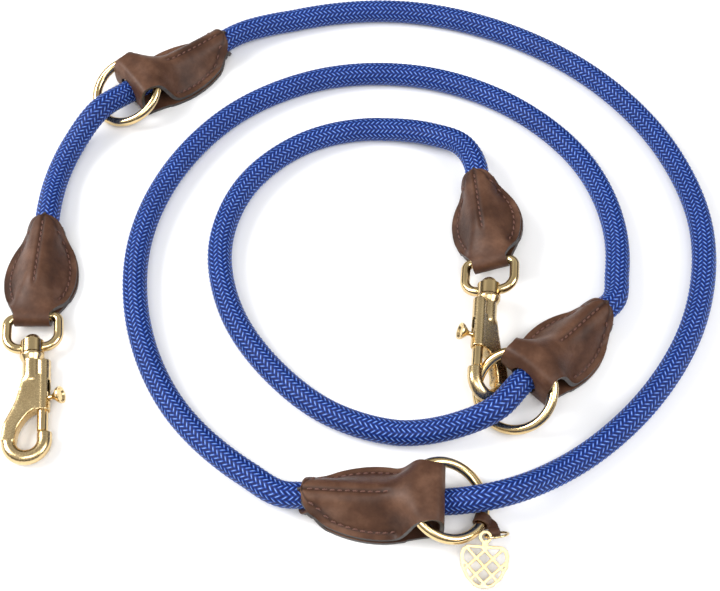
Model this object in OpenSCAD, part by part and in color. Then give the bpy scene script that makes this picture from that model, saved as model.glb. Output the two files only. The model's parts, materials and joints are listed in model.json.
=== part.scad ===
// Adjustable rope lead: one braided rope with five folded leather wraps, three round
// rings, two swivel bolt snaps and a small charm, laid out in a spiral on a flat surface.
// Millimetres, +Z up, the surface at z = 0.

/* [Rope] */
// Diameter of the braided rope
rope_d = 12; // [11.5:0.1:12]
// Thickness of the braided cover
cover_t = 1.5; // [1:0.1:2]

/* [Leather wraps] */
// Thickness of one layer of leather
leather_t = 2; // [1.8:0.1:2]
// Length of the longest wrap from its fold to its tip
wrap_l = 63; // [62:1:64]
// Half of the wrap's width at its widest
wrap_half = 17.5; // [17:0.5:18]
// Half of the fold's width on a wrap that holds a ring
ring_fold_half = 13.5; // [13:0.1:13.5]
// Half of the fold's width on a wrap that holds a snap
end_fold_half = 8.5; // [8:0.1:8.5]
// Diameter of the sewing thread
thread_d = 0.9; // [0.6:0.1:1]
// Distance from one stitch to the next
stitch_pitch = 3.5; // [3:0.5:5]

/* [Rings] */
// Diameter of the brass wire of rings and eyes
wire_d = 4.6; // [4:0.1:4.6]
// Diameter of a ring at the middle of its wire
ring_mean_d = 36; // [35.5:0.1:36.5]

/* [Snaps] */
// Height of an eye's bar above the underside of its wrap
bar_h = 6.4; // [6.2:0.1:6.6]
// Outer width of the eye
eye_w = 29; // [28.5:0.1:30]
// Distance from the eye's bar to the middle of the claw's bend
claw_s = 65; // [64:0.5:66]
// Radius of the claw's bend at the middle of its metal
claw_bend_r = 8; // [7.8:0.1:8.2]
// Radius of the claw's metal
claw_r = 3.4; // [3.2:0.1:3.5]
// Diameter of the sliding bolt
bolt_d = 5; // [4.6:0.1:5]
// Travel of the sliding bolt
bolt_travel = 8; // [7:0.5:8]

/* [Charm] */
// Width of the tag
tag_w = 21; // [18:1:22]
// Height of the tag
tag_h = 18; // [16:1:18]
// Thickness of the tag
tag_t = 1.2; // [1:0.1:1.4]

/* [Hidden] */
$fn = 48;

rope_r = rope_d / 2;
core_gap = 0.05;
rope_sides = 8;
rope_step = 37;
wire_r = wire_d / 2;
ring_r = ring_mean_d / 2;
// Clearances: between sliding shafts and bores, and between parts that only pass
fit = 0.05;
clear = 0.35;
// Height of the rope's middle inside a wrap that lies flat
rope_h = leather_t + rope_r;

// Each wrap: fold point x and y, heading from the fold to the tip, roll about the rope,
// lift of its fold, turn and shift of the eye's bar in the fold, slope down to the tip, and
// how much shorter it is than the longest wrap
WRAP_1 = [-130, -29, 90, 0, 0, 6, 0, 0, 4];
WRAP_2 = [-97, 116, 37, 0, 0, 0, 0, 0, 2];
WRAP_3 = [100, -63.9, 45, 0, 5, 0, 0, 4.5, 4];
WRAP_4 = [63, -121, 177, 0, 0, 0, 0, 0, 0];
WRAP_5 = [91.7, -0.5, 94, -20, 6.3, -9.2, 0, 0, 8];

// Places along a wrap, measured from its fold, where the route has points
rope_end = 19;
function length_of(w) = wrap_l - w[8];
function ring_steps(w) = [0, 20, length_of(w), length_of(w) + 7];
function end_steps(w) = [rope_end, length_of(w), length_of(w) + 7];
mouth_rise = 0.4;

function turned_x(v, a) = [v[0], v[1] * cos(a) - v[2] * sin(a), v[1] * sin(a) + v[2] * cos(a)];
function turned_y(v, a) = [v[0] * cos(a) + v[2] * sin(a), v[1], v[2] * cos(a) - v[0] * sin(a)];
function turned_z(v, a) = [v[0] * cos(a) - v[1] * sin(a), v[0] * sin(a) + v[1] * cos(a), v[2]];
function on_wrap(w, v) = [w[0], w[1], w[4]] + turned_z(turned_y(turned_x(v, w[3]), w[7]), w[2]);
function spot(w, s) = on_wrap(w, [s, 0, rope_h + (s == 0 ? mouth_rise : 0)]);
function spots(w, steps) = [for (s = steps) spot(w, s)];
function reversed(list) = [for (i = [len(list) - 1:-1:0]) list[i]];

// Free stretches of the rope between the wraps, from snap 1 to snap 2
STRETCH_12 = [[-129, 58, 6], [-123, 80, 7], [-110, 101, 12]];
STRETCH_24 = [
    [-8, 171, 6], [50, 177, 6], [105, 161, 6], [153, 126, 6], [184, 80, 6],
    [196, 30, 6], [187, -22, 6], [158, -70, 6], [118, -104, 7], [82, -121, 14]
];
STRETCH_43 = [
    [-24, -107, 7], [-60, -72, 6], [-80, -26, 6], [-83, 20, 6], [-68, 67, 6],
    [-36, 106, 6], [10, 128, 6], [62, 128, 6], [110, 105, 6], [143, 65, 6],
    [153, 22, 6], [151, 0, 7]
];
STRETCH_35 = [
    [88, -77.3, 14.2], [67, -85, 10], [43, -86, 6], [14, -77, 6], [-15, -53, 6],
    [-36, -20, 6], [-43, 18, 6], [-31, 56, 6], [0, 84, 6], [38, 92, 6],
    [64, 86, 9], [78, 77, 12]
];

ROUTE = concat(
    spots(WRAP_1, end_steps(WRAP_1)), STRETCH_12,
    spots(WRAP_2, ring_steps(WRAP_2)), STRETCH_24,
    spots(WRAP_4, ring_steps(WRAP_4)), STRETCH_43,
    reversed(spots(WRAP_3, ring_steps(WRAP_3))), STRETCH_35,
    reversed(spots(WRAP_5, end_steps(WRAP_5)))
);

// A smooth curve through the route: each point's direction weighs its two neighbours
function slope(p, i) = let(
    a = max(i - 1, 0),
    b = min(i + 1, len(p) - 1),
    back = i == a ? p[b] - p[i] : p[i] - p[a],
    ahead = i == b ? back : p[b] - p[i],
    sum = norm(back) + norm(ahead)
) back / norm(back) * norm(ahead) / sum + ahead / norm(ahead) * norm(back) / sum;
function between(p, i, t) = let(
    span = norm(p[i + 1] - p[i]),
    a = slope(p, i) * span,
    b = slope(p, i + 1) * span
) p[i] * (2 * t * t * t - 3 * t * t + 1) + a * (t * t * t - 2 * t * t + t)
    + p[i + 1] * (3 * t * t - 2 * t * t * t) + b * (t * t * t - t * t);
function smooth(p, step) = concat(
    [for (i = [0:len(p) - 2]) let(n = ceil(norm(p[i + 1] - p[i]) / step))
        for (k = [0:n - 1]) between(p, i, k / n)],
    [p[len(p) - 1]]
);

// No part of the rope lies lower than the surface it rests on
function settled(p) = [for (v = p) [v[0], v[1], max(v[2], rope_r)]];

// Rings of points square to a path that is never vertical
function ahead_of(p, i) = let(a = p[max(i - 1, 0)], b = p[min(i + 1, len(p) - 1)]) (b - a) / norm(b - a);
function ring_at(p, i, r, sides) = let(
    t = ahead_of(p, i),
    side = cross([0, 0, 1], t) / norm(cross([0, 0, 1], t)),
    up = cross(t, side)
) [for (k = [0:sides - 1]) p[i] + r * (cos(360 * k / sides - 90) * side + sin(360 * k / sides - 90) * up)];
function wall(n, sides, first, out) = [
    for (i = [0:n - 2], k = [0:sides - 1]) let(
        a = first + i * sides + k,
        b = first + i * sides + (k + 1) % sides
    ) each out
        ? [[a, a + sides, b], [b, a + sides, b + sides]]
        : [[a, b, a + sides], [b, b + sides, a + sides]]
];

// A solid bar of round section along a path
module bar_along(p, r, sides) {
    n = len(p);
    last = (n - 1) * sides;
    polyhedron(
        points = [for (i = [0:n - 1]) each ring_at(p, i, r, sides)],
        faces = concat(
            wall(n, sides, 0, true),
            [[for (k = [0:sides - 1]) k]],
            [[for (k = [sides - 1:-1:0]) last + k]]
        )
    );
}

// A hollow tube along a path
module tube_along(p, r, bore, sides) {
    n = len(p);
    inner = n * sides;
    last = (n - 1) * sides;
    polyhedron(
        points = concat(
            [for (i = [0:n - 1]) each ring_at(p, i, r, sides)],
            [for (i = [0:n - 1]) each ring_at(p, i, bore, sides)]
        ),
        faces = concat(
            wall(n, sides, 0, true),
            wall(n, sides, inner, false),
            [for (k = [0:sides - 1]) let(j = (k + 1) % sides) each [
                [k, j, inner + k],
                [j, inner + j, inner + k],
                [last + k, last + inner + k, last + j],
                [last + j, last + inner + k, last + inner + j]
            ]]
        )
    );
}

module rope_cover() {
    color("royalblue") tube_along(settled(smooth(ROUTE, rope_step)), rope_r, rope_r - cover_t, rope_sides);
}

module rope_core() {
    color("ivory") bar_along(settled(smooth(ROUTE, rope_step)), rope_r - cover_t - core_gap, rope_sides);
}

// ---- leather wraps: drawn from the fold at x = 0 to the tip at +x, underside at z = 0 ----

widest = 28;

// Half the wrap's width at a distance from its fold, and where it starts to widen
function wrap_edge(x, fold, flat, tip) = x < flat ? fold
    : x < widest ? fold + (wrap_half - fold) * (1 - cos(180 * (x - flat) / (widest - flat))) / 2
    : wrap_half * cos(tip * (x - widest) / ($leaf - wrap_half * cos(tip) - widest));

module outline(fold, flat, tip) {
    end_r = wrap_half * cos(tip);
    side = [for (x = [0:3:$leaf - end_r - 1]) [x, wrap_edge(x, fold, flat, tip)]];
    nose = [for (a = [80:-20:-80]) [$leaf - end_r + end_r * cos(a), end_r * sin(a)]];
    polygon(concat(side, nose, [for (p = reversed(side)) [p[0], -p[1]]]));
}

module across(x, z, r, half) {
    translate([x, half, z]) rotate([90, 0, 0]) cylinder(r = r, h = 2 * half, $fn = 32);
}

module along_x(x0, x1, y, z, r) {
    translate([x0, y, z]) rotate([0, 90, 0]) cylinder(r = r, h = x1 - x0);
}

module flange(x0) {
    translate([x0, -wrap_half - 1, 0]) cube([$leaf - x0 + 1, 2 * wrap_half + 2, 2 * leather_t]);
}

module rope_way(x0) {
    along_x(x0, $leaf + 1, 0, rope_h, rope_r + 0.25);
}

ring_tip = 74;
bore_from = 16;
ring_flat = 4;
// Height of a ring's near side, which lies on top of the rope inside the fold
near_h = leather_t + rope_d + 0.8 + wire_r;

// Each ring: heights of its near and far sides, how far it is drawn out of the fold, and its
// shift along the fold; the charm's strap lies under the third ring's far side
RING_1 = [near_h, wire_r, 1, 0];
RING_2 = [near_h + 4.2, wire_r, 4.7, -0.1];
RING_3 = [near_h, 3.8, 1, 0];
function ring_tilt(g) = asin((g[0] - g[1]) / ring_mean_d);

// Where the ring's near side crosses the rope, from the fold along the wrap
function crossing(w, g) = (ring_r * cos(ring_tilt(g)) - g[2]) * cos(w[7]) - (g[0] - w[4]) * sin(w[7]);

module ring_wrap(x) {
    ridge_r = wire_r + clear + leather_t;
    top = near_h + wire_r + clear;
    fold_r = 2.6;
    difference() {
        intersection() {
            union() {
                hull() {
                    across(x, near_h, ridge_r, 11);
                    across(fold_r, near_h + 0.6, fold_r, ring_fold_half);
                    across(fold_r, fold_r, fold_r, ring_fold_half);
                    translate([widest - 3, -wrap_half, 0]) cube([9, 2 * wrap_half, 2 * leather_t]);
                }
                flange(bore_from);
                along_x(bore_from, $leaf, 0, rope_h, rope_r + leather_t);
            }
            linear_extrude(height = top + leather_t + 1) outline(ring_fold_half, ring_flat, ring_tip);
        }
        rope_way(bore_from);
        along_x(-1, bore_from, 0, rope_h + 0.9, rope_r + 1.1);
        // The hollow of the fold, open at both sides, where the ring passes over the rope
        translate([0, wrap_half + 1, 0]) rotate([90, 0, 0]) linear_extrude(height = 2 * wrap_half + 2)
            polygon([
                [leather_t, leather_t], [leather_t, near_h + 0.6], [x - 4, top - 0.4],
                [x - 2, top], [x + 1.5, top], [x + 3, top - 1.6],
                [x + 3.4, rope_h], [x + 3.4, leather_t]
            ]);
    }
}

end_tip = 82;
end_flat = 8;
fold_outer_r = wire_r + fit + leather_t;
eye_x = fold_outer_r;

module end_wrap(turn) {
    difference() {
        intersection() {
            union() {
                hull() {
                    across(eye_x, bar_h, fold_outer_r, wrap_half);
                    along_x(22, 24, 0, rope_h, rope_r + leather_t);
                    translate([widest - 4, -wrap_half, 0]) cube([8, 2 * wrap_half, 2 * leather_t]);
                }
                flange(22);
                along_x(22, $leaf, 0, rope_h, rope_r + leather_t);
            }
            linear_extrude(height = 2 * rope_h + 2) outline(end_fold_half, end_flat, end_tip);
        }
        rope_way(rope_end - 0.2);
        translate([eye_x, 0, bar_h]) rotate([0, 0, turn]) {
            across(0, 0, wire_r + fit, wrap_half + 2);
            for (s = [-1, 1]) translate([0, s * (end_fold_half + 3), 0])
                across(0, 0, wire_r + 0.4, 3);
        }
    }
}

module at_wrap(w) {
    $leaf = length_of(w);
    translate([w[0], w[1], w[4]]) rotate([w[3], w[7], w[2]]) children();
}

module wrap_1() { color("saddlebrown") at_wrap(WRAP_1) end_wrap(WRAP_1[5]); }
module wrap_2() { color("saddlebrown") at_wrap(WRAP_2) ring_wrap(crossing(WRAP_2, RING_1)); }

// This wrap's ring is drawn far out and presses into the fold's front, and the second
// snap's claw lies under the fold's left corner
module wrap_3() {
    color("saddlebrown") difference() {
        at_wrap(WRAP_3) ring_wrap(crossing(WRAP_3, RING_2));
        at_wrap(WRAP_3) translate([-1, 5.5, -1]) cube([10, wrap_half, 6]);
        at_ring(WRAP_3, RING_2) rotate_extrude() translate([ring_r, 0]) circle(r = wire_r + clear);
    }
}

module wrap_4() { color("saddlebrown") at_wrap(WRAP_4) ring_wrap(crossing(WRAP_4, RING_3)); }
module wrap_5() { color("saddlebrown") at_wrap(WRAP_5) end_wrap(WRAP_5[5]); }

// ---- stitching: a middle seam on the rope's bulge and a seam inside each edge ----

seam_in = 3.4;
thread_r = thread_d / 2;
stitch_l = 0.72 * stitch_pitch;

// Height of the leather's upper face at a distance from the middle
function leather_top(y) = let(r = rope_r + leather_t)
    abs(y) < r ? max(2 * leather_t, rope_h + sqrt(r * r - y * y)) : 2 * leather_t;

module stitch(x, y, turn) {
    translate([x, y, leather_top(y)]) rotate([0, 0, turn]) translate([-stitch_l / 2, 0, 0])
        rotate([0, 90, 0]) cylinder(r = thread_r, h = stitch_l, $fn = 16);
}

module stitching(fold, flat, tip, side_from, middle_from) {
    side_to = $leaf - 9;
    for (x = [side_from:stitch_pitch:side_to]) {
        y = wrap_edge(x, fold, flat, tip) - seam_in;
        next = wrap_edge(x + 1, fold, flat, tip) - seam_in;
        for (s = [-1, 1]) stitch(x, s * y, s * atan(next - y));
    }
    for (x = [middle_from:stitch_pitch:$leaf - 5]) stitch(x, 0, 0);
}

module ring_stitching() { stitching(ring_fold_half, ring_flat, ring_tip, widest, widest + 4); }
module end_stitching() { stitching(end_fold_half, end_flat, end_tip, 25, widest); }

module stitching_1() { color("sienna") at_wrap(WRAP_1) end_stitching(); }
module stitching_2() { color("sienna") at_wrap(WRAP_2) ring_stitching(); }
module stitching_3() { color("sienna") at_wrap(WRAP_3) ring_stitching(); }
module stitching_4() { color("sienna") at_wrap(WRAP_4) ring_stitching(); }
module stitching_5() { color("sienna") at_wrap(WRAP_5) end_stitching(); }

// ---- rings: one side over the rope inside the fold, the other side under the rope ----

module at_ring(w, g) {
    translate([w[0], w[1], (g[0] + g[1]) / 2]) rotate([0, 0, w[2]])
        translate([-g[2], g[3], 0]) rotate([0, -ring_tilt(g), 0]) children();
}

module plain_ring(w, g) {
    color("gold") at_ring(w, g) rotate_extrude($fn = 96) translate([ring_r, 0]) circle(r = wire_r, $fn = 32);
}

module ring_1() { plain_ring(WRAP_2, RING_1); }
module ring_2() { plain_ring(WRAP_3, RING_2); }
module ring_3() { plain_ring(WRAP_4, RING_3); }

// ---- snaps: drawn from the eye's bar at x = 0 to the claw at +x, the barrel towards +y ----

leg_y = eye_w / 2 - wire_r;
eye_corner_r = 3.6;
eye_bend_r = 7;
eye_base_x = 14;
eye_base_l = 6.4;
eye_base_r = 5.6;
stem_r = 2.55;
barrel_y = 5.4;
barrel_r = 3.4;
barrel_end = 50.7;
bore_start = 29;
bolt_r = bolt_d / 2;
bolt_back = 41;
knob_x = 44.5;
knob_tilt = 20;
knob_stem_r = 1.1;
nose_x = 61.8;
nose_y = claw_bend_r - 1.6;
claw_y = nose_y - claw_bend_r;
web_half = 3.3;

module bend(x, y, r, from, angle) {
    translate([x, y, 0]) rotate([0, 0, from]) rotate_extrude(angle = angle) translate([r, 0]) circle(r = wire_r);
}

module swivel_eye() {
    leg_end = eye_base_x + wire_r - eye_bend_r + 0.4;
    difference() {
        union() {
            across(0, 0, wire_r, leg_y - eye_corner_r);
            for (s = [0, 1]) mirror([0, s, 0]) {
                bend(eye_corner_r, leg_y - eye_corner_r, eye_corner_r, 90, 90);
                along_x(eye_corner_r, leg_end, leg_y, 0, wire_r);
                bend(leg_end, leg_y - eye_bend_r, eye_bend_r, 0, 90);
            }
            along_x(eye_base_x, eye_base_x + eye_base_l, 0, 0, eye_base_r);
        }
        along_x(eye_base_x - 1, eye_base_x + eye_base_l + 1, 0, 0, stem_r + fit);
    }
}

module snap_body() {
    head_x = eye_base_x - 0.15;
    neck_x = eye_base_x + eye_base_l + 0.15;
    difference() {
        union() {
            // Rivet head inside the eye, stem through its base, and neck flange
            intersection() {
                translate([head_x, 0, 0]) sphere(r = 4.2);
                along_x(head_x - 4.2, head_x, 0, 0, 4.2);
            }
            along_x(head_x - 1, neck_x + 1, 0, 0, stem_r);
            along_x(neck_x, neck_x + 1.4, 0, 0, eye_base_r);
            translate([neck_x + 1.4, 0, 0]) rotate([0, 90, 0]) cylinder(r1 = eye_base_r, r2 = 4.3, h = 2.6);
            // Shank, barrel and the shoulder that swells into the claw
            along_x(neck_x + 3, 35, 0, 0, 4.3);
            along_x(neck_x + 4, barrel_end, barrel_y, 0, barrel_r);
            translate([0, 0, -web_half]) linear_extrude(height = 2 * web_half) polygon([
                [33, -4.1], [40, -5.6], [46, -7.2], [51, -9.6], [56, -12], [60, -12.8],
                [claw_s, claw_y - 11.3], [claw_s, claw_y - 4.7], [61, -6], [57, -4.4],
                [53, -1.6], [50.6, 1.6], [50.6, barrel_y], [33, barrel_y]
            ]);
            // Claw and nose
            translate([claw_s, claw_y, 0]) rotate([0, 0, -90]) rotate_extrude(angle = 180)
                translate([claw_bend_r, 0]) circle(r = claw_r);
            along_x(nose_x, claw_s, nose_y, 0, claw_r);
        }
        along_x(bore_start, barrel_end + 1.5, barrel_y, 0, bolt_r + fit);
        // Slot for the knob's stem
        translate([knob_x - bolt_travel - knob_stem_r - 0.3, barrel_y, 0]) rotate([knob_tilt, 0, 0])
            translate([0, 0, -knob_stem_r - 0.2]) cube([bolt_travel + 2 * knob_stem_r + 0.6, 9, 2 * knob_stem_r + 0.4]);
    }
}

module snap_bolt() {
    difference() {
        union() {
            along_x(bolt_back, nose_x - 1.2, barrel_y, 0, bolt_r);
            translate([nose_x - 1.2, barrel_y, 0]) rotate([0, 90, 0]) cylinder(r1 = bolt_r, r2 = bolt_r - 0.7, h = 0.9);
        }
        translate([knob_x, barrel_y, 0]) rotate([knob_tilt - 90, 0, 0])
            translate([0, 0, -1]) cylinder(r = knob_stem_r + 0.02, h = bolt_r + 2);
    }
}

module thumb_knob() {
    translate([knob_x, barrel_y, 0]) rotate([knob_tilt - 90, 0, 0]) rotate_extrude()
        polygon([
            [0, -0.9], [knob_stem_r, -0.9], [knob_stem_r, 5], [1.6, 5.8], [3.6, 8], [4, 8.9],
            [4, 9.5], [3.3, 9.5], [2.6, 8.6], [0, 8.2]
        ]);
}

module bolt_spring() {
    turns = 7;
    steps = 12;
    coil_r = 1.9;
    coil_wire_r = 0.25;
    from = bore_start + 0.3;
    length = bolt_back - bore_start - 0.6;
    coil = [for (i = [0:turns * steps]) [
        coil_r * cos(360 * i / steps), coil_r * sin(360 * i / steps), length * i / (turns * steps)
    ]];
    translate([from, barrel_y, 0]) rotate([0, 90, 0]) bar_along(coil, coil_wire_r, 6);
}

// Each snap: how far its nose drops about the bar, and its turn on the swivel
SNAP_1 = [1.9, 0];
SNAP_2 = [-2.1, 118.2];

module at_eye(w, snap) {
    at_wrap(w) translate([eye_x, w[6], bar_h]) rotate([0, snap[0], 180 + w[5]]) children();
}

module at_snap(w, snap) {
    at_eye(w, snap) rotate([snap[1], 0, 0]) children();
}

module swivel_eye_1() { color("gold") at_eye(WRAP_1, SNAP_1) swivel_eye(); }
module snap_body_1() { color("gold") at_snap(WRAP_1, SNAP_1) snap_body(); }
module snap_bolt_1() { color("gold") at_snap(WRAP_1, SNAP_1) snap_bolt(); }
module thumb_knob_1() { color("gold") at_snap(WRAP_1, SNAP_1) thumb_knob(); }
module bolt_spring_1() { color("silver") at_snap(WRAP_1, SNAP_1) bolt_spring(); }
module swivel_eye_2() { color("gold") at_eye(WRAP_5, SNAP_2) swivel_eye(); }
module snap_body_2() { color("gold") at_snap(WRAP_5, SNAP_2) snap_body(); }
module snap_bolt_2() { color("gold") at_snap(WRAP_5, SNAP_2) snap_bolt(); }
module thumb_knob_2() { color("gold") at_snap(WRAP_5, SNAP_2) thumb_knob(); }
module bolt_spring_2() { color("silver") at_snap(WRAP_5, SNAP_2) bolt_spring(); }

// ---- charm: a strap round the third ring, a jump ring and an openwork tag ----

// Place of the strap round the ring, as an angle from the ring's far side
strap_psi = -20;
strap_t = 1;
strap_half = 2.2;
strap_in = wire_r + 0.5;
strap_tilt = ring_tilt(RING_3);
strap_level = -atan(cos(strap_psi) * tan(strap_tilt));
// The strap leads off, curves sideways and ends in a loop
strap_off = 3;
strap_curve_r = 3;
strap_curve = 60;
strap_run = 2.6;
strap_loop_r = 2.3;
strap_bore_r = 1.35;
jump_r = 5;
jump_wire_r = 0.5;
jump_lean = 57;
jump_heading = 10;
tag_heading = -94;
tag_drop = 21;
tag_eye_r = 1.5;
tag_eye_wall = 1.3;
tag_bar = 1.3;
tag_neck = 3.6;

module at_strap() {
    at_ring(WRAP_4, RING_3) rotate([0, 0, 180 + strap_psi]) translate([ring_r, 0, 0])
        rotate([0, strap_level, 0]) children();
}

module at_strap_end() {
    at_strap() translate([strap_off, -strap_curve_r, 0]) rotate([0, 0, -strap_curve])
        translate([strap_run, strap_curve_r, 0]) children();
}

module charm_strap() {
    color("saddlebrown") difference() {
        union() {
            at_strap() {
                across(0, 0, strap_in + strap_t, strap_half);
                translate([strap_off - 1, -strap_half, -strap_t]) cube([1, 2 * strap_half, 2 * strap_t]);
                translate([strap_off, -strap_curve_r, 0]) rotate([0, 0, 90 - strap_curve])
                    rotate_extrude(angle = strap_curve)
                        translate([strap_curve_r - strap_half, -strap_t]) square([2 * strap_half, 2 * strap_t]);
            }
            at_strap_end() {
                translate([-strap_run, -strap_half, -strap_t]) cube([strap_run, 2 * strap_half, 2 * strap_t]);
                across(0, 0, strap_loop_r, strap_half);
            }
        }
        at_strap() across(0, 0, strap_in, strap_half + 1);
        at_strap_end() across(0, 0, strap_bore_r, strap_half + 1);
    }
}

// The jump ring rises from the strap's end, and the tag hangs from its left side
function strap_spot(v) = let(
    on_ring = turned_z([ring_r, 0, 0] + turned_y(v, strap_level), 180 + strap_psi),
    in_wrap = [-RING_3[2], RING_3[3], 0] + turned_y(on_ring, -strap_tilt)
) [WRAP_4[0], WRAP_4[1], (RING_3[0] + RING_3[1]) / 2] + turned_z(in_wrap, WRAP_4[2]);
strap_end = strap_spot([strap_off, -strap_curve_r, 0] + turned_z([strap_run, strap_curve_r, 0], -strap_curve));
jump_middle = strap_end + jump_r * turned_z([0, -cos(jump_lean), sin(jump_lean)], jump_heading);
tag_eye = jump_middle - jump_r * turned_z([1, 0, 0], jump_heading);

module charm_jump_ring() {
    color("gold") translate(jump_middle) rotate([-jump_lean, 0, jump_heading])
        rotate_extrude() translate([jump_r, 0]) circle(r = jump_wire_r, $fn = 20);
}

// Outline of the tag, drawn about its middle at one size and scaled for its window
function tag_shape(k) = let(h = k * tag_h / 2, w = k * tag_w / 2) [
    [-h, -0.72 * w], [-h, 0.72 * w], [-0.82 * h, 0.93 * w], [-0.55 * h, w], [0, 0.96 * w],
    [0.55 * h, 0.72 * w], [0.9 * h, 0.4 * w], [h, 0.2 * w], [h, -0.2 * w], [0.9 * h, -0.4 * w],
    [0.55 * h, -0.72 * w], [0, -0.96 * w], [-0.55 * h, -w], [-0.82 * h, -0.93 * w]
];

module charm_tag() {
    middle = tag_neck + tag_h / 2;
    window = 1 - 2 * tag_bar / tag_h;
    color("gold") translate(tag_eye) rotate([0, tag_drop, tag_heading]) translate([0, 0, -tag_t / 2])
        difference() {
            union() {
                cylinder(r = tag_eye_r + tag_eye_wall, h = tag_t);
                translate([tag_eye_r, -tag_eye_wall, 0]) cube([tag_neck, 2 * tag_eye_wall, tag_t]);
                translate([middle, 0, 0]) linear_extrude(height = tag_t) difference() {
                    polygon(tag_shape(1));
                    difference() {
                        polygon(tag_shape(window));
                        for (s = [-1, 1], c = [-1, 0, 1]) translate([0, c * tag_w / 3, 0])
                            rotate([0, 0, 45 * s]) square([tag_bar, 2 * tag_h], center = true);
                    }
                }
            }
            translate([0, 0, -1]) cylinder(r = tag_eye_r, h = tag_t + 2);
        }
}

rope_cover();
rope_core();
wrap_1();
wrap_2();
wrap_3();
wrap_4();
wrap_5();
stitching_1();
stitching_2();
stitching_3();
stitching_4();
stitching_5();
ring_1();
ring_2();
ring_3();
swivel_eye_1();
snap_body_1();
snap_bolt_1();
thumb_knob_1();
bolt_spring_1();
swivel_eye_2();
snap_body_2();
snap_bolt_2();
thumb_knob_2();
bolt_spring_2();
charm_strap();
charm_jump_ring();
charm_tag();
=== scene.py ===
import json
import math
from collections import namedtuple

import bmesh
import bpy
import numpy as np
from mathutils import Matrix, Vector


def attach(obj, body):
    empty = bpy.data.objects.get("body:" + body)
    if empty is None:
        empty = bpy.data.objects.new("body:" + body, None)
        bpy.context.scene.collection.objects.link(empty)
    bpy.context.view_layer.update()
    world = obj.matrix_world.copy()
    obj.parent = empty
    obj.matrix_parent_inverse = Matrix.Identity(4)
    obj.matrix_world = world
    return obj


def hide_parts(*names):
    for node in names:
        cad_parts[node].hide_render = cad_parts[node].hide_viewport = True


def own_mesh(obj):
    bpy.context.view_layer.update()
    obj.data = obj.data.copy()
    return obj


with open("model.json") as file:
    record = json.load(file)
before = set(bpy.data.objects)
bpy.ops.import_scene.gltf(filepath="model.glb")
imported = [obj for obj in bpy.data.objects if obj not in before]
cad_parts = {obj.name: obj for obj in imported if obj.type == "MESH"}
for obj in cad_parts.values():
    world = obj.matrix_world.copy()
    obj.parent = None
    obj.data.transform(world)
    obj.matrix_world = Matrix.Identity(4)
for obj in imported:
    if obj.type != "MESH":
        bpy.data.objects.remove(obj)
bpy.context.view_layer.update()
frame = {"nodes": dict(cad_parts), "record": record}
MM = 0.001

# ---------------------------------------------------------------- camera
view_pitch = math.radians(57)
eye = bpy.data.objects.new("camera", bpy.data.cameras.new("camera"))
bpy.context.collection.objects.link(eye)
eye.location = (0.026, -0.3677, 0.5539)
eye.rotation_euler = (math.pi / 2 - view_pitch, 0, 0)
eye.data.sensor_width = 36
eye.data.sensor_fit = "HORIZONTAL"
eye.data.lens = 67.7
eye.data.clip_start = 0.01
bpy.context.scene.camera = eye

# ---------------------------------------------------------------- the lead's layout, as in the part
ROPE_R = 6.0
LEATHER_T = 2.0
ROPE_H = LEATHER_T + ROPE_R
RING_R = 18.0
WIRE_R = 2.3
WRAP_HALF = 17.5
WIDEST = 28.0
FULLNESS = 0.6
EYE_X = 4.35
RING_FOLD_X = 5.6
BAR_H = 6.4
MOUTH_RISE = 0.4
PAST_TIP = 7
# The fold's place and the heading to the tip, roll about the rope, lift of the fold, turn and
# shift of an eye's bar, slope to the tip, half of the fold's width, where the leaf starts to
# widen, how steeply it closes (0 to 90) and its length
Wrap = namedtuple("Wrap", "x y heading roll lift bar_turn bar_shift slope fold flat tip length")
WRAPS = {
    1: Wrap(-130, -29, 90, 0, 0, 6, 0, 0, 8.5, 4.35, 70, 59),
    2: Wrap(-97, 116, 37, 0, 0, 0, 0, 0, 13.5, 4, 70, 61),
    3: Wrap(100, -63.9, 45, 0, 5, 0, 0, 4.5, 13.5, 4, 70, 59),
    4: Wrap(63, -121, 177, 0, 0, 0, 0, 0, 13.5, 4, 70, 63),
    5: Wrap(91.7, -0.5, 94, -20, 6.3, -9.2, 0, 0, 8.5, 4.35, 70, 55),
}
# Each snap's wrap, its tilt about the eye's bar and its turn in the swivel
Snap = namedtuple("Snap", "wrap tilt turn")
SNAPS = {1: Snap(1, 1.9, 0.0), 2: Snap(5, -2.1, 118.2)}
END_WRAPS = (1, 5)


def shift(x, y, z):
    return Matrix.Translation((x, y, z))


def turn(angle, axis):
    return Matrix.Rotation(math.radians(angle), 4, axis)


def wrap_frame(k):
    w = WRAPS[k]
    return shift(w.x, w.y, w.lift) @ turn(w.heading, "Z") @ turn(w.slope, "Y") @ turn(w.roll, "X")


def snap_frame(k):
    snap = SNAPS[k]
    w = WRAPS[snap.wrap]
    bar = wrap_frame(snap.wrap) @ shift(EYE_X, w.bar_shift, BAR_H)
    return bar @ turn(180 + w.bar_turn, "Z") @ turn(snap.tilt, "Y") @ turn(snap.turn, "X")


def spots(k, steps):
    m = wrap_frame(k)
    steps = [*steps, WRAPS[k].length, WRAPS[k].length + PAST_TIP]
    return [np.array(m @ Vector((s, 0, ROPE_H + (MOUTH_RISE if s == 0 else 0)))) for s in steps]


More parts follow.
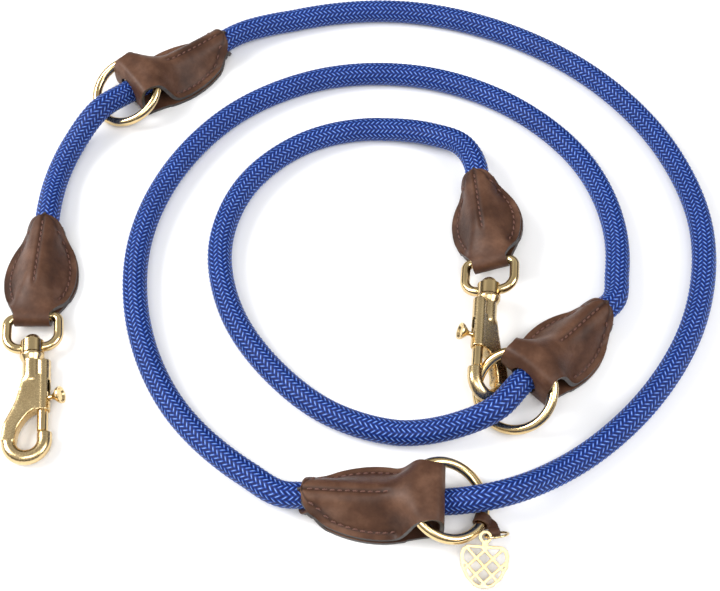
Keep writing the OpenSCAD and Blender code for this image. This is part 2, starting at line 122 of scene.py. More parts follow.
RING_STEPS = (0, 20)
END_STEPS = (19,)
STRETCH_12 = [(-129, 58, 6), (-123, 80, 7), (-110, 101, 12)]
STRETCH_24 = [(-8, 171, 6), (50, 177, 6), (105, 161, 6), (153, 126, 6), (184, 80, 6), (196, 30, 6),
              (187, -22, 6), (158, -70, 6), (118, -104, 7), (82, -121, 14)]
STRETCH_43 = [(-24, -107, 7), (-60, -72, 6), (-80, -26, 6), (-83, 20, 6), (-68, 67, 6), (-36, 106, 6),
              (10, 128, 6), (62, 128, 6), (110, 105, 6), (143, 65, 6), (153, 22, 6), (151, 0, 7)]
STRETCH_35 = [(88, -77.3, 14.2), (67, -85, 10), (43, -86, 6), (14, -77, 6), (-15, -53, 6), (-36, -20, 6),
              (-43, 18, 6), (-31, 56, 6), (0, 84, 6), (38, 92, 6), (64, 86, 9), (78, 77, 12)]
ROUTE = np.array(
    spots(1, END_STEPS) + STRETCH_12 + spots(2, RING_STEPS) + STRETCH_24 + spots(4, RING_STEPS)
    + STRETCH_43 + spots(3, RING_STEPS)[::-1] + STRETCH_35 + spots(5, END_STEPS)[::-1], dtype=float)


def smooth_route(p):
    step = np.linalg.norm(np.diff(p, axis=0), axis=1)
    unit = np.diff(p, axis=0) / step[:, None]
    slopes = [unit[0]]
    for i in range(1, len(p) - 1):
        slopes.append((unit[i - 1] * step[i] + unit[i] * step[i - 1]) / (step[i] + step[i - 1]))
    slopes.append(unit[-1])
    out = []
    for i in range(len(step)):
        for t in np.linspace(0, 1, int(step[i] / 0.5) + 2)[:-1]:
            a, b = slopes[i] * step[i], slopes[i + 1] * step[i]
            out.append(p[i] * (2 * t**3 - 3 * t * t + 1) + a * (t**3 - 2 * t * t + t)
                       + p[i + 1] * (3 * t * t - 2 * t**3) + b * (t**3 - t * t))
    out.append(p[-1])
    out = np.array(out)
    out[:, 2] = np.maximum(out[:, 2], ROPE_R + 0.05)
    return out


LINE = smooth_route(ROUTE)
REACH = np.concatenate([[0], np.cumsum(np.linalg.norm(np.diff(LINE, axis=0), axis=1))])
ROPE_L = float(REACH[-1])


def along(s):
    return np.stack([np.interp(s, REACH, LINE[:, k]) for k in range(3)], axis=-1)


# ---------------------------------------------------------------- helpers
def new_mesh(name, verts, faces):
    me = bpy.data.meshes.new(name)
    me.from_pydata([tuple(v) for v in verts], [], [tuple(f) for f in faces])
    me.polygons.foreach_set("use_smooth", [True] * len(me.polygons))
    me.update()
    ob = bpy.data.objects.new(name, me)
    bpy.context.collection.objects.link(ob)
    return ob


def co_of(me):
    a = np.empty(len(me.vertices) * 3)
    me.vertices.foreach_get("co", a)
    return a.reshape(-1, 3)


def attribute(me, name, values):
    at = me.attributes.new(name, "FLOAT", "POINT")
    at.data.foreach_set("value", np.asarray(values, dtype=float).ravel())


def softened(node, name, voxel, rounds):
    """A copy of a CAD solid with its edges rounded, as leather or a casting has them."""
    me = frame["nodes"][node].data.copy()
    ob = bpy.data.objects.new(name, me)
    bpy.context.collection.objects.link(ob)
    bm = bmesh.new()
    bm.from_mesh(me)
    bmesh.ops.remove_doubles(bm, verts=bm.verts, dist=1e-6)
    bmesh.ops.recalc_face_normals(bm, faces=bm.faces)
    bm.to_mesh(me)
    bm.free()
    m = ob.modifiers.new("voxels", "REMESH")
    m.mode = "VOXEL"
    m.voxel_size = voxel * MM
    m.use_smooth_shade = True
    m = ob.modifiers.new("smooth", "SMOOTH")
    m.factor = 0.5
    m.iterations = rounds
    dg = bpy.context.evaluated_depsgraph_get()
    done = bpy.data.meshes.new_from_object(ob.evaluated_get(dg))
    ob.modifiers.clear()
    ob.data = done
    done.materials.clear()
    done.polygons.foreach_set("use_smooth", [True] * len(done.polygons))
    return ob


def crowned(ob, m):
    """Rounds the flat web between the barrel and the claw, as it is on a casting."""
    inv = np.linalg.inv(m)
    q = (co_of(ob.data) / MM) @ inv[:3, :3].T + inv[:3, 3]
    beside_barrel = np.clip((2.4 - q[:, 1]) / 1.5, 0, 1)
    past_swivel = np.clip((q[:, 0] - 31) / 3, 0, 1)
    before_claw = np.clip((66 - q[:, 0]) / 4, 0, 1)
    near = beside_barrel * past_swivel * before_claw
    group = ob.vertex_groups.new(name="web")
    for i in np.nonzero(near > 0.01)[0]:
        group.add([int(i)], float(near[i]), "REPLACE")
    mod = ob.modifiers.new("crown", "SMOOTH")
    mod.factor = 0.5
    mod.iterations = 90
    mod.vertex_group = "web"
    dg = bpy.context.evaluated_depsgraph_get()
    done = bpy.data.meshes.new_from_object(ob.evaluated_get(dg))
    ob.modifiers.clear()
    ob.data = done


def rand_wave(p, scale, seed):
    """A soft pseudo-random wave over points in mm."""
    rng = np.random.default_rng(seed)
    out = np.zeros(len(p))
    for _ in range(6):
        d = rng.normal(size=3)
        d /= np.linalg.norm(d)
        out += np.sin((p @ d) / scale * rng.uniform(0.6, 1.5) * 2 * np.pi + rng.uniform(0, 6.28))
    return out / 6


# ---------------------------------------------------------------- materials
def material(name):
    m = bpy.data.materials.new(name)
    m.use_nodes = True
    return m, m.node_tree.nodes, m.node_tree.links, m.node_tree.nodes["Principled BSDF"]


def put(nodes, kind, **values):
    n = nodes.new(kind)
    for k, v in values.items():
        if k in n.inputs:
            n.inputs[k].default_value = v
        else:
            setattr(n, k, v)
    return n


def noise(nodes, links, scale, detail=3.0, rough=0.55):
    t = nodes.new("ShaderNodeTexCoord")
    n = put(nodes, "ShaderNodeTexNoise", Scale=scale, Detail=detail, Roughness=rough)
    links.new(t.outputs["Object"], n.inputs["Vector"])
    return n.outputs["Fac"]


def ramp(nodes, links, source, stops):
    r = nodes.new("ShaderNodeValToRGB")
    e = r.color_ramp.elements
    while len(e) < len(stops):
        e.new(0.5)
    for el, (at, c) in zip(e, stops):
        el.position = at
        el.color = (*c, 1)
    links.new(source, r.inputs["Fac"])
    return r.outputs["Color"]


def attr(nodes, name):
    return put(nodes, "ShaderNodeAttribute", attribute_name=name).outputs["Fac"]


def mixed(nodes, links, fac, a, b, blend="MIX"):
    m = put(nodes, "ShaderNodeMix", data_type="RGBA", blend_type=blend)
    for sock, v in ((m.inputs[0], fac), (m.inputs[6], a), (m.inputs[7], b)):
        if isinstance(v, (float, int)):
            sock.default_value = v
        elif isinstance(v, tuple):
            sock.default_value = (*v, 1)
        else:
            links.new(v, sock)
    return m.outputs[2]


def maths(nodes, links, op, *args):
    m = put(nodes, "ShaderNodeMath", operation=op)
    for i, v in enumerate(args):
        if isinstance(v, (float, int)):
            m.inputs[i].default_value = v
        else:
            links.new(v, m.inputs[i])
    return m.outputs[0]


def bumped(nodes, links, shader, layers):
    last = None
    for source, strength, distance in layers:
        b = put(nodes, "ShaderNodeBump", Strength=strength, Distance=distance)
        links.new(source, b.inputs["Height"])
        if last:
            links.new(last, b.inputs["Normal"])
        last = b.outputs["Normal"]
    links.new(last, shader.inputs["Normal"])


def rope_material():
    m, n, l, s = material("rope_braid")
    high = attr(n, "high")
    worn = noise(n, l, 60, 2)
    fleck = noise(n, l, 1500, 2, 0.6)
    # Base colour follows the braid's height over the rope's own blue: near black in the valleys (painted
    # shade) up to pale blue on the strands' tops (painted highlight)
    base = ramp(n, l, high, [(0.25, (0.0005, 0.003, 0.03)), (0.5, (0.002, 0.014, 0.14)),
                             (0.75, (0.014, 0.075, 0.45)), (0.96, (0.4, 0.64, 1.0))])
    base = mixed(n, l, maths(n, l, "MULTIPLY", fleck, 0.25), base, (0.008, 0.04, 0.33))
    tone = ramp(n, l, worn, [(0.3, (0.8, 0.8, 0.84)), (0.7, (1, 1, 1))])
    base = mixed(n, l, 1.0, base, tone, "MULTIPLY")
    # Filaments run along each strand; their lines are also painted as pale blue glints on the strands' tops
    # (painted highlight)
    uv = put(n, "ShaderNodeUVMap", uv_map="braid")
    part = n.new("ShaderNodeSeparateXYZ")
    l.new(uv.outputs["UV"], part.inputs[0])
    over = attr(n, "over")
    a = maths(n, l, "MULTIPLY", part.outputs[0], over)
    b = maths(n, l, "MULTIPLY", part.outputs[1], maths(n, l, "SUBTRACT", 1.0, over))
    lines = maths(n, l, "SINE", maths(n, l, "MULTIPLY", maths(n, l, "ADD", a, b), 31.4))
    lines = maths(n, l, "MULTIPLY_ADD", lines, 0.5, 0.5)
    painted_glint = maths(n, l, "MULTIPLY", maths(n, l, "MULTIPLY", lines, high), 0.2)
    base = mixed(n, l, painted_glint, base, (0.14, 0.3, 0.9))
    l.new(base, s.inputs["Base Color"])
    l.new(ramp(n, l, fleck, [(0.3, (0.32,) * 3), (0.7, (0.5,) * 3)]), s.inputs["Roughness"])
    s.inputs["Specular IOR Level"].default_value = 0.22
    bumped(n, l, s, [(lines, 0.5, 0.00012), (fleck, 0.25, 0.0001)])
    return m


def leather_material():
    m, n, l, s = material("leather_brown")
    cloud = noise(n, l, 55, 4, 0.6)
    fine = noise(n, l, 900, 4, 0.65)
    cell = put(n, "ShaderNodeTexVoronoi", Scale=1100.0, feature="DISTANCE_TO_EDGE")
    t = n.new("ShaderNodeTexCoord")
    l.new(t.outputs["Object"], cell.inputs["Vector"])
    pores = ramp(n, l, cell.outputs["Distance"], [(0.0, (0, 0, 0)), (0.16, (1, 1, 1))])
    base = ramp(n, l, cloud, [(0.34, (0.046, 0.018, 0.009)), (0.5, (0.09, 0.039, 0.021)),
                              (0.68, (0.16, 0.078, 0.046))])
    base = mixed(n, l, maths(n, l, "MULTIPLY", fine, 0.3), base, (0.03, 0.012, 0.007))
    # Painted shade: the leather is darker in the sewn groove and along the seams
    base = mixed(n, l, attr(n, "painted_shade"), base, (0.022, 0.008, 0.005))
    l.new(base, s.inputs["Base Color"])
    l.new(ramp(n, l, fine, [(0.3, (0.42,) * 3), (0.7, (0.56,) * 3)]), s.inputs["Roughness"])
    s.inputs["Specular IOR Level"].default_value = 0.26
    bumped(n, l, s, [(cloud, 0.25, 0.0006), (pores, 0.16, 0.00008), (fine, 0.3, 0.00012)])
    return m


def edge_material():
    m, n, l, s = material("edge_paint")
    worn = noise(n, l, 420, 3)
    base = ramp(n, l, worn, [(0.35, (0.018, 0.013, 0.011)), (0.7, (0.05, 0.037, 0.03))])
    l.new(base, s.inputs["Base Color"])
    s.inputs["Roughness"].default_value = 0.5
    bumped(n, l, s, [(worn, 0.3, 0.0002)])
    return m


def thread_material():
    m, n, l, s = material("waxed_thread")
    twist = put(n, "ShaderNodeTexWave", Scale=900.0, Distortion=1.5, bands_direction="DIAGONAL")
    t = n.new("ShaderNodeTexCoord")
    l.new(t.outputs["Object"], twist.inputs["Vector"])
    l.new(ramp(n, l, twist.outputs["Fac"], [(0.2, (0.05, 0.018, 0.012)), (0.8, (0.2, 0.085, 0.058))]),
          s.inputs["Base Color"])
    s.inputs["Roughness"].default_value = 0.5
    bumped(n, l, s, [(twist.outputs["Fac"], 0.6, 0.0001)])
    return m


def brass_material(name, tint, dull, rough, grain):
    m, n, l, s = material(name)
    cast = noise(n, l, 1300, 4, 0.6)
    wave = noise(n, l, 90, 3)
    s.inputs["Metallic"].default_value = 1.0
    l.new(ramp(n, l, wave, [(0.3, dull), (0.7, tint)]), s.inputs["Base Color"])
    l.new(ramp(n, l, cast, [(0.3, (rough,) * 3), (0.75, (rough + 0.12,) * 3)]), s.inputs["Roughness"])
    bumped(n, l, s, [(wave, 0.12, 0.0006), (cast, grain, 0.00008)])
    return m


def steel_material():
    m, n, l, s = material("spring_steel")
    s.inputs["Metallic"].default_value = 1.0
    drawn = noise(n, l, 700, 3)
    l.new(ramp(n, l, drawn, [(0.3, (0.4, 0.4, 0.41)), (0.7, (0.62, 0.62, 0.63))]), s.inputs["Base Color"])
    s.inputs["Roughness"].default_value = 0.3
    return m


ROPE = rope_material()
LEATHER = leather_material()
EDGE = edge_material()
THREAD = thread_material()
BRASS = brass_material("brass_polished", (0.80, 0.61, 0.32), (0.70, 0.51, 0.25), 0.13, 0.12)
BRASS_CAST = brass_material("brass_cast", (0.76, 0.58, 0.31), (0.64, 0.47, 0.24), 0.2, 0.4)
BRASS_TAG = brass_material("brass_tag", (0.66, 0.52, 0.29), (0.52, 0.39, 0.2), 0.3, 0.15)
STEEL = steel_material()

# ---------------------------------------------------------------- rope
STRANDS = 16
PITCH = 2.5
RELIEF = 0.5
AROUND = 2 * STRANDS


def over_at(i, j):
    return np.mod(i - j, 4) < 2


def braided_rope():
    """A tube on the braid's own diagonal lattice: two strands over, two under."""
    rows = int(ROPE_L / (PITCH / 4)) + 1
    row = np.repeat(np.arange(rows), AROUND)
    q = np.tile(np.arange(AROUND), rows)
    c = 2 * q + (row & 1)
    k, l = (row + c) // 2, (row - c) // 2
    a_half, b_half = (k & 1) == 1, (l & 1) == 1
    i, j = k // 2, l // 2
    here, before_b, before_a = over_at(i, j), over_at(i, j - 1), over_at(i - 1, j)
    high = np.full(len(row), 0.05)
    high[a_half & b_half] = 0.92
    side = a_half & ~b_half
    high[side] = np.where(here & before_b, 1.0, np.where(~here & ~before_b, 0.05, 0.42))[side]
    side = ~a_half & b_half
    high[side] = np.where(~here & ~before_a, 1.0, np.where(here & before_a, 0.05, 0.42))[side]
    s = np.minimum(row * PITCH / 4, ROPE_L)
    p = along(s)
    t = along(np.minimum(s + 0.6, ROPE_L)) - along(np.maximum(s - 0.6, 0))
    t /= np.linalg.norm(t, axis=1)[:, None]
    lateral = np.cross([0, 0, 1.0], t)
    lateral /= np.linalg.norm(lateral, axis=1)[:, None]
    up = np.cross(t, lateral)
    angle = 2 * np.pi * c / (4 * STRANDS)
    r = ROPE_R - RELIEF + RELIEF * high
    # The rope's underside is pressed a little flat where it lies on the surface
    v = p + r[:, None] * (np.cos(angle)[:, None] * lateral + np.sin(angle)[:, None] * up)
    v[:, 2] = np.maximum(v[:, 2], 0.06 + 0.1 * (1 - high))

    def index(rr, cc):
        return rr * AROUND + np.mod((cc - (rr & 1)) // 2, AROUND)

    f_row = np.repeat(np.arange(rows - 2), AROUND)
    f_c = 2 * np.tile(np.arange(AROUND), rows - 2) + (f_row & 1)
    faces = np.stack([index(f_row, f_c), index(f_row + 1, f_c + 1), index(f_row + 2, f_c),
                      index(f_row + 1, f_c - 1)], axis=1)
    extra = []
    for r0, flip in ((0, False), (rows - 1, True)):
        r1 = 1 if r0 == 0 else rows - 2
        for cc in range(r0 & 1, 4 * STRANDS, 2):
            corners = ((r0, cc), (r0, cc + 2), (r1, cc + 1))
            tri = tuple(int(index(np.int64(a), b)) for a, b in corners)
            extra.append(tri[::-1] if flip else tri)
    ends = [list(range(AROUND))[::-1], list(range((rows - 1) * AROUND, rows * AROUND))]
    ob = new_mesh("rope", v * MM, faces.tolist() + extra + ends)
    me = ob.data
    attribute(me, "high", high)
    face_k, face_l = (f_row + f_c) // 2, (f_row - f_c) // 2
    over = np.zeros(len(me.polygons))
    over[:len(faces)] = over_at(face_k // 2, face_l // 2)
    at = me.attributes.new("over", "FLOAT", "FACE")
    at.data.foreach_set("value", over)
    uv = me.uv_layers.new(name="braid")
    data = np.zeros((len(me.loops), 2))
    data[:len(faces) * 4, 0] = (np.stack([face_k, face_k + 1, face_k + 1, face_k], axis=1) / 2 % 1e3).ravel()
    data[:len(faces) * 4, 1] = (np.stack([face_l, face_l, face_l + 1, face_l + 1], axis=1) / 2).ravel()
    uv.data.foreach_set("uv", data.ravel())
    me.materials.append(ROPE)
    return ob


rope = braided_rope()
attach(rope, "lead")
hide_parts("rope_cover", "rope_core")


# ---------------------------------------------------------------- leather wraps
# Heights of the leather's upper face: sewn edges, over the rope, over an eye's bar, and over
# a ring at the middle and at the edges
SEWN_H = 2 * LEATHER_T
ROPE_TOP = ROPE_H + ROPE_R + LEATHER_T
BAR_TOP = 10.75
RING_TOP = 20.2
RING_EDGE = 19.4
COVERED_R = ROPE_R + LEATHER_T
SHEET_T = 1.85
SEAM_IN = 3.2
STITCH_PITCH = 3.3
# The round mouth in a ring wrap's fold: height of its middle, and its radius
MOUTH_H = 9.0
MOUTH_R = 7.1


def wrap_edge(x, w):
    fold, flat, tip = w.fold, w.flat, math.radians(w.tip)
    x = np.asarray(x, dtype=float)
    t = np.clip((x - flat) / (WIDEST - flat), 0, 1)
    # A wrap that holds a snap widens at once, one that holds a ring more gently
    full = 1.0 if fold < 10 else 0.5
    widening = full * np.sin(np.pi / 2 * t) + (1 - full) * (1 - np.cos(np.pi * t)) / 2
    grow = fold + (WRAP_HALF - fold) * widening
    end_r = WRAP_HALF * math.cos(tip)
    close = np.clip((x - WIDEST) / (w.length - end_r - WIDEST), 0, 1)
    fall = WRAP_HALF * np.cos(tip * close) ** FULLNESS
    return np.where(x < flat, fold, np.where(x < WIDEST, grow, fall))


def bell(d, width):
    return np.exp(-(d / width) ** 2)


def ease(x, a, b):
    t = np.clip((x - a) / (b - a), 0, 1)
    return t * t * (3 - 2 * t)


def half_width(x, w):
    end_r = WRAP_HALF * math.cos(math.radians(w.tip))
    past = np.clip((x - (w.length - end_r)) / end_r, 0, 1)
    cap = wrap_edge(w.length - end_r, w) * np.sqrt(np.maximum(1 - past**2, 0.00002))
    return np.where(past > 0, cap, wrap_edge(x, w))


def blur(z, rounds):
    for _ in range(rounds):
        g = np.pad(z, ((1, 1), (0, 0)), mode="edge")
        z = (g[:-2] + 2 * g[1:-1] + g[2:]) / 4
        g = np.pad(z, ((0, 0), (1, 1)), mode="edge")
        z = (g[:, :-2] + 2 * g[:, 1:-1] + g[:, 2:]) / 4
    return z


def draped(y, z):
    """The upper envelope of a cross-section, as leather stretched over it."""
    keep = []
    for i in range(len(y)):
        while len(keep) > 1:
            a, b = keep[-2], keep[-1]
            if (z[b] - z[a]) * (y[i] - y[a]) <= (z[i] - z[a]) * (y[b] - y[a]):
                keep.pop()
            else:
                break
        keep.append(i)
    return np.interp(y, y[keep], z[keep])


def leather_heights(k):
    """Heights of the wrap's upper and lower faces over its outline."""
    w = WRAPS[k]
    ring = k not in END_WRAPS
    x_fold = RING_FOLD_X if ring else EYE_X
    u = np.linspace(0, 1, 62)
    xs = w.length - 0.04 - (w.length - 0.04 - x_fold) * (0.35 * u * u + 0.65 * u)
    ts = np.linspace(-1, 1, 45)
    e = half_width(xs, w)
    ys = e[:, None] * ts[None, :]
    # Along the middle and along the edge: over the bar or the ring, down onto the rope or
    # onto the lower layer, and up again over the rope's flanks at the tip
    if ring:
        ridge = 9.3 if k == 3 else 12.5
        middle = RING_TOP + 1.6 * bell(xs - ridge, 5.5)
        middle = middle + (ROPE_TOP - middle) * ease(xs, ridge + 3, 31)
        edge = RING_EDGE + (SEWN_H - RING_EDGE) * ease(xs, ridge - 1.5, 20.5)
        arch = ease(xs, ridge, 27)
        under = 0 * xs
    else:
        middle = BAR_TOP + (ROPE_TOP - BAR_TOP) * ease(xs, 4, 25)
        edge = BAR_TOP + (SEWN_H - BAR_TOP) * ease(xs, 5, 16)
        arch = ease(xs, 5, 23)
        under = 2.05 * (1 - ease(xs, 4, 22))
    bulge = np.sqrt(np.maximum(COVERED_R**2 - np.minimum(e, COVERED_R - 0.01) ** 2, 0))
    flank, flank_low = ROPE_H + bulge, ROPE_H - bulge
    rise = 1 - ease(e, 7.6, 13.0)
    tip = (xs > 30)
    edge = np.where(tip, edge + (flank - edge) * rise**1.5, edge)
    edge_low = np.where(tip, (flank_low - 0.2) * rise**1.5, 0) + under
    half = e * (1 - arch) + COVERED_R * arch
    base = edge * (1 - arch) + ROPE_H * arch
    upper = np.zeros(ys.shape)
    for i in range(len(xs)):
        y = ys[i]
        round_top = base[i] + (middle[i] - base[i]) * np.sqrt(np.clip(1 - (y / half[i]) ** 2, 0, 1))
        line = np.where(np.abs(y) < half[i], np.maximum(round_top, edge[i]), edge[i])
        inner = np.abs(y) <= max(e[i] - 2.6 * ease(e[i], 10, 14), 0.3)
        if inner.sum() > 3:
            line[inner] = draped(y[inner], line[inner])
        upper[i] = line
    upper = blur(upper, 5)
    if k == 3:
        # The claw of the second snap lies under this corner
        lift = 5.2 * (1 - ease(xs, 8, 13))[:, None] * ease(ys, 3.5, 7)
    else:
        lift = 0
    lower = under[:, None] + (edge_low - under)[:, None] * ease(np.abs(ts), 0.3, 1)[None, :] + lift
    return xs, ts, e, upper, lower, x_fold


def leather_wrap(k):
    w = WRAPS[k]
    ring = k not in END_WRAPS
    xs, ts, e, upper, lower, x_fold = leather_heights(k)
    ys = e[:, None] * ts[None, :]
    side_from, mid_from = (22, 26) if ring else (15, 21)
    x2 = xs[:, None]
    groove = bell(ys, 1.0) * ease(x2, mid_from - 4, mid_from + 1) * (e > 1.5)[:, None]
    seam_y = np.maximum(e - SEAM_IN, 0)[:, None]
    seam = bell(np.abs(ys) - seam_y, 0.7) * ease(x2, side_from - 3, side_from) * (e > 4)[:, None]
    pillow = rand_wave(np.stack([np.repeat(xs, len(ts)), ys.ravel(), np.zeros(ys.size)], 1), 19, 40 + k)
    pillow = pillow.reshape(ys.shape) * ease(x2, 14, 22) * (1 - np.abs(ts)[None, :] ** 4)
    upper = upper - 0.75 * groove - 0.35 * seam + 0.25 * pillow
    fold_n = 30 if ring else 14
    power = 0.7 if ring else 1.0
    rows = [np.stack([np.broadcast_to(x2, ys.shape)[i], ys[i], upper[i]], 1) for i in range(len(xs))]
    top, bottom = upper[-1], lower[-1]
    for i in range(1, fold_n):
        g = math.pi * i / fold_n
        c, d = math.cos(g), math.sin(g)
        z = (top + bottom) / 2 + (top - bottom) / 2 * math.copysign(abs(c) ** power, c)
        rows.append(np.stack([x_fold - x_fold * d**power + 0 * ts, ys[-1], z], 1))
    proud = 1 + 0.45 / np.maximum(e, 3)
    for i in range(len(xs) - 1, -1, -1):
        wider = proud[i] if xs[i] > 16 else 1
        rows.append(np.stack([x2[i] + 0 * ts, ys[i] * wider, lower[i]], 1))
    q = np.concatenate(rows)
    nr, nt = len(rows), len(ts)
    # Painted shade in the sewn groove and along the seams, following the depth of these hollows
    shade = np.zeros((nr, nt))
    shade[:len(xs)] = np.clip(0.8 * groove + 0.7 * seam, 0, 1)
    faces = []
    gone = np.zeros(nr * nt, dtype=bool)
    if ring:
        front = (q[:, 0] < x_fold + 4) & (q[:, 2] < 16.3)
        d = np.hypot(q[:, 1], q[:, 2] - MOUTH_H)
        gone = front & (d < MOUTH_R)
    for i in range(nr - 1):
        for j in range(nt - 1):
            f = (i * nt + j, i * nt + j + 1, (i + 1) * nt + j + 1, (i + 1) * nt + j)
            if not all(gone[v] for v in f):
                faces.append(f)
    if ring:
        d = np.maximum(d, 0.01)
        grow = MOUTH_R / d
        q[gone, 1] *= grow[gone]
        q[gone, 2] = MOUTH_H + (q[gone, 2] - MOUTH_H) * grow[gone]
    m = np.array(wrap_frame(k))
    p = q @ m[:3, :3].T + m[:3, 3]
    ob = new_mesh("leather_%d" % k, p * MM, faces)
    attribute(ob.data, "painted_shade", shade)
    for mat in (LEATHER, EDGE):
        ob.data.materials.append(mat)
    bm = bmesh.new()
    bm.from_mesh(ob.data)
    bmesh.ops.delete(bm, geom=[v for v in bm.verts if not v.link_faces], context="VERTS")
    bmesh.ops.recalc_face_normals(bm, faces=bm.faces)
    up = Vector(m[:3, 2])
    crown = max(bm.faces, key=lambda f: f.calc_center_median() @ up)
    if crown.normal @ up < 0:
        bmesh.ops.reverse_faces(bm, faces=bm.faces)
    bm.to_mesh(ob.data)
    bm.free()
    mod = ob.modifiers.new("thickness", "SOLIDIFY")
    mod.thickness = SHEET_T * MM
    mod.offset = -1
    mod.material_offset_rim = 1
    mod = ob.modifiers.new("rounded", "BEVEL")
    mod.width = 0.5 * MM
    mod.segments = 3
    mod.limit_method = "ANGLE"
    mod.angle_limit = math.radians(50)
    dg = bpy.context.evaluated_depsgraph_get()
    done = bpy.data.meshes.new_from_object(ob.evaluated_get(dg))
    ob.modifiers.clear()
    ob.data = done
    done.polygons.foreach_set("use_smooth", [True] * len(done.polygons))
    p = co_of(done)
    p[:, 2] = np.maximum(p[:, 2], 0.00003)
    if ring:
        p = clear_of_ring(p, k - 1)
    done.vertices.foreach_set("co", p.ravel())
    done.update()
    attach(ob, "lead")
    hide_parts("wrap_%d" % k)

    def surface(x, y):
        i = np.interp(-x, -xs, np.arange(len(xs)))
        i0 = int(min(i, len(xs) - 2))
        both = [np.interp(y, ys[r], upper[r]) for r in (i0, i0 + 1)]
        return both[0] + (both[1] - both[0]) * (i - i0)

    stitching(k, surface, side_from, mid_from)


def clear_of_ring(p, number):
    """Moves leather that smoothing brought too near a ring back off its wire."""
    joint = next(j for j in frame["record"]["behaviour"]["joints"] if j["name"] == "ring_%d_turn" % number)
    c, axis = np.array(joint["pos_m"]), np.array(joint["axis"])
    axis = axis / np.linalg.norm(axis)
    rel = p - c
    high = rel @ axis
    flat = rel - high[:, None] * axis
    far = np.maximum(np.linalg.norm(flat, axis=1), 1e-6)
    wire = flat / far[:, None] * RING_R * MM
    off = rel - wire
    dist = np.maximum(np.linalg.norm(off, axis=1), 1e-6)
    need = (WIRE_R + 0.3) * MM
    push = np.where(dist < need, need / dist, 1.0)
    return c + wire + off * push[:, None]


def stitching(k, surface, side_from, mid_from):
    """Each stitch is a short thread that dives into the leather at both ends."""
    w = WRAPS[k]
    rows = []
    for x in np.arange(side_from, w.length - 4.5, STITCH_PITCH):
        y = max(float(half_width(np.array(x), w)) - SEAM_IN, 0)
        if y < 1.6:
            continue
        ahead = max(float(half_width(np.array(x + 1.0), w)) - SEAM_IN, 0)
        lean = math.degrees(math.atan(ahead - y))
        rows += [(x, y, lean), (x, -y, -lean)]
    rows += [(x, 0.0, 0.0) for x in np.arange(mid_from, w.length - 3.5, STITCH_PITCH)]
    verts, faces = [], []
    rings, sides, half, r = 9, 8, 1.4, 0.45
    for x, y, lean in rows:
        z = float(surface(x, y))
        rise = float(surface(x + 1, y) - surface(x - 1, y)) / 2
        base = wrap_frame(k) @ shift(x, y, z)
        base = base @ turn(-math.degrees(math.atan(rise)), "Y") @ turn(lean + 6, "Z")
        first = len(verts)
        for a in range(rings):
            t = -1 + 2 * a / (rings - 1)
            drop = 0.12 - 0.75 * abs(t) ** 3
            thick = r * (1 - 0.35 * t * t)
            for b in range(sides):
                g = 2 * math.pi * b / sides
                point = Vector((half * t, thick * math.cos(g), drop + thick * math.sin(g)))
                verts.append(tuple(base @ point))
        for a in range(rings - 1):
            for b in range(sides):
                c = (b + 1) % sides
                faces.append((first + a * sides + b, first + a * sides + c,
                              first + (a + 1) * sides + c, first + (a + 1) * sides + b))
        faces.append(tuple(first + b for b in range(sides))[::-1])
        faces.append(tuple(first + (rings - 1) * sides + b for b in range(sides)))
    ob = new_mesh("thread_%d" % k, np.array(verts) * MM, faces)
    ob.data.materials.append(THREAD)
    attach(ob, "lead")
    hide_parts("stitching_%d" % k)


for number in WRAPS:
    leather_wrap(number)

# ---------------------------------------------------------------- metal
for node, ob in frame["nodes"].items():
    if node.startswith(("ring_", "swivel_eye", "snap_bolt", "thumb_knob", "charm_jump")):
        for s in ob.material_slots:
            s.material = BRASS
        ob.data.polygons.foreach_set("use_smooth", [True] * len(ob.data.polygons))

for k in (1, 2):
    ob = softened("snap_body_%d" % k, "snap_casting_%d" % k, 0.3, 5)
    crowned(ob, np.array(snap_frame(k)))
    ob.data.materials.append(BRASS_CAST)
    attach(ob, "snap_%d" % k)
    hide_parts("snap_body_%d" % k)
    spring = bpy.data.objects.new("spring_%d" % k, frame["nodes"]["bolt_spring_%d" % k].data.copy())
    bpy.context.collection.objects.link(spring)
    spring.data.materials.clear()
    spring.data.materials.append(STEEL)
    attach(spring, "snap_%d" % k)
    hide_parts("bolt_spring_%d" % k)
    m = snap_frame(k)
    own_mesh(spring)

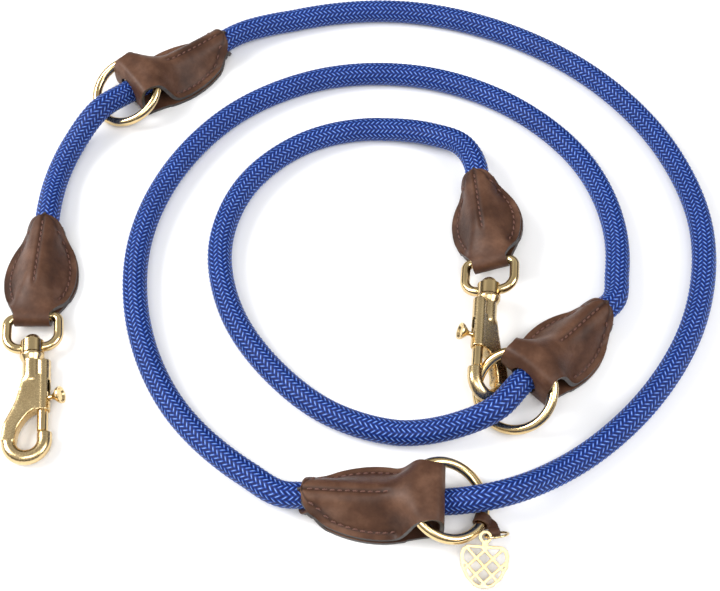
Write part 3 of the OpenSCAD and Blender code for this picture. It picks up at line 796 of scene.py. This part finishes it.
# ---------------------------------------------------------------- charm
ob = softened("charm_strap", "charm_leather", 0.22, 6)
attribute(ob.data, "painted_shade", np.zeros(len(ob.data.vertices)))
ob.data.materials.append(LEATHER)
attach(ob, "charm_strap")
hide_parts("charm_strap")

ob = softened("charm_tag", "charm_shield", 0.12, 3)
ob.data.materials.append(BRASS_TAG)
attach(ob, "charm_tag")
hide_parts("charm_tag")

# ---------------------------------------------------------------- floor, light
FLOOR_HALF = 3
corners = [(x * FLOOR_HALF, y * FLOOR_HALF, -0.0002) for x, y in ((-1, -1), (1, -1), (1, 1), (-1, 1))]
floor = new_mesh("floor", corners, [(0, 1, 2, 3)])
m, n, l, s = material("floor_white")
tone = ramp(n, l, noise(n, l, 3, 2), [(0.3, (0.93, 0.93, 0.935)), (0.7, (0.96, 0.96, 0.96))])
l.new(tone, s.inputs["Base Color"])
s.inputs["Roughness"].default_value = 0.85
floor.data.materials.append(m)

world = bpy.data.worlds.new("studio")
bpy.context.scene.world = world
world.use_nodes = True
wn, wl = world.node_tree.nodes, world.node_tree.links
coord = wn.new("ShaderNodeTexCoord")
split = wn.new("ShaderNodeSeparateXYZ")
wl.new(coord.outputs["Generated"], split.inputs[0])
sky = ramp(wn, wl, split.outputs[2], [
    (0.0, (0.5, 0.5, 0.5)), (0.1, (0.06, 0.05, 0.045)), (0.35, (0.16, 0.15, 0.14)),
    (0.6, (0.9, 0.9, 0.9)), (0.8, (0.55, 0.55, 0.55))])
back = wn["Background"]
wl.new(sky, back.inputs["Color"])
back.inputs["Strength"].default_value = 0.75


def lamp(name, where, aim, size, power):
    d = bpy.data.lights.new(name, "AREA")
    d.shape = "RECTANGLE"
    d.size, d.size_y = size
    d.energy = power
    o = bpy.data.objects.new(name, d)
    bpy.context.collection.objects.link(o)
    o.location = where
    o.rotation_euler = (Vector(aim) - Vector(where)).to_track_quat("-Z", "Y").to_euler()


lamp("key", (-1.15, 0.15, 0.95), (0, 0, 0), (0.8, 0.8), 22)
lamp("fill", (1.1, -0.35, 1.0), (0, 0, 0), (0.8, 0.8), 12)
lamp("front", (0.0, -0.75, 1.3), (0, 0, 0), (1.0, 0.4), 8)
bpy.context.scene.view_settings.view_transform = "Standard"
